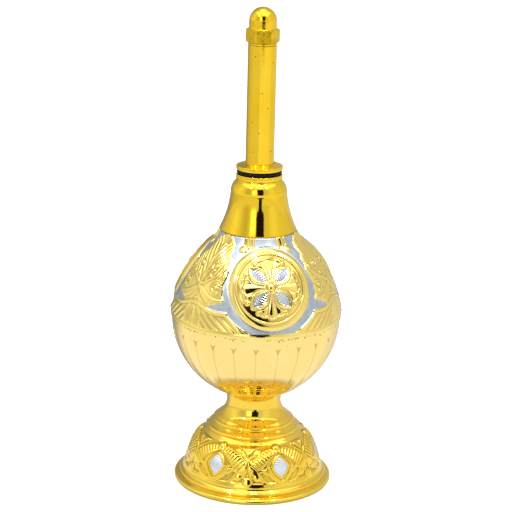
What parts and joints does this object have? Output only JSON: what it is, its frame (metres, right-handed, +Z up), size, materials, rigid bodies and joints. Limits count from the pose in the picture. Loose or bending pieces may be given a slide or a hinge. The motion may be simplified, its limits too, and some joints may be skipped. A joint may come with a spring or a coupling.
{
  "type": "aspergillum",
  "caption": "Standing holy water sprinkler: fluted and embossed bulb on a bell foot, with a screw-in spout tube, seal ring and drilled screw cap.",
  "frame": {"origin": "centre of the circle that the foot stands on", "axes": "+Z up along the common axis of foot, bulb and spout; the full medallion of the picture faces -Y"},
  "size_m": [0.0762, 0.0762, 0.2128],
  "materials": {
    "gold_plate": "polished gold plate on brass",
    "two_tone_plate": "embossed sheet, gold plated relief on satin silver plated grounds",
    "plain_brass": "turned brass, unplated",
    "black_rubber": "moulded nitrile rubber"
  },
  "bodies": {
    "vessel": {"foot": "gold_plate", "bowl": "gold_plate", "upper_shell": "two_tone_plate", "neck": "gold_plate", "neck_bush": "gold_plate", "bowl_stud": "plain_brass", "foot_washer": "plain_brass", "foot_nut": "plain_brass"},
    "seal": {"o_ring": "black_rubber"},
    "spout": {"spout_plug": "gold_plate", "spout_tube": "gold_plate", "nozzle_nipple": "plain_brass"},
    "cap_seal": {"nozzle_washer": "gold_plate"},
    "cap": {"nozzle_cap": "gold_plate"}
  },
  "joints": [
    {"name": "spout_lift", "type": "slide", "parent": "vessel", "child": "seal", "axis": [0, 0, 1], "range_m": [0, 0.009]},
    {"name": "spout_turn", "type": "hinge", "parent": "seal", "child": "spout", "pos_m": [0, 0, 0.1427], "axis": [0, 0, 1], "range_deg": [0, 2160]},
    {"name": "cap_lift", "type": "slide", "parent": "spout", "child": "cap_seal", "axis": [0, 0, 1], "range_m": [0, 0.005]},
    {"name": "cap_turn", "type": "hinge", "parent": "cap_seal", "child": "cap", "pos_m": [0, 0, 0.1979], "axis": [0, 0, 1], "range_deg": [0, 1440]}
  ],
  "couplings": [
    {"joint": "spout_turn", "follows": "spout_lift", "rad_per_m": 4188.8},
    {"joint": "cap_turn", "follows": "cap_lift", "rad_per_m": 5026.5}
  ]
}
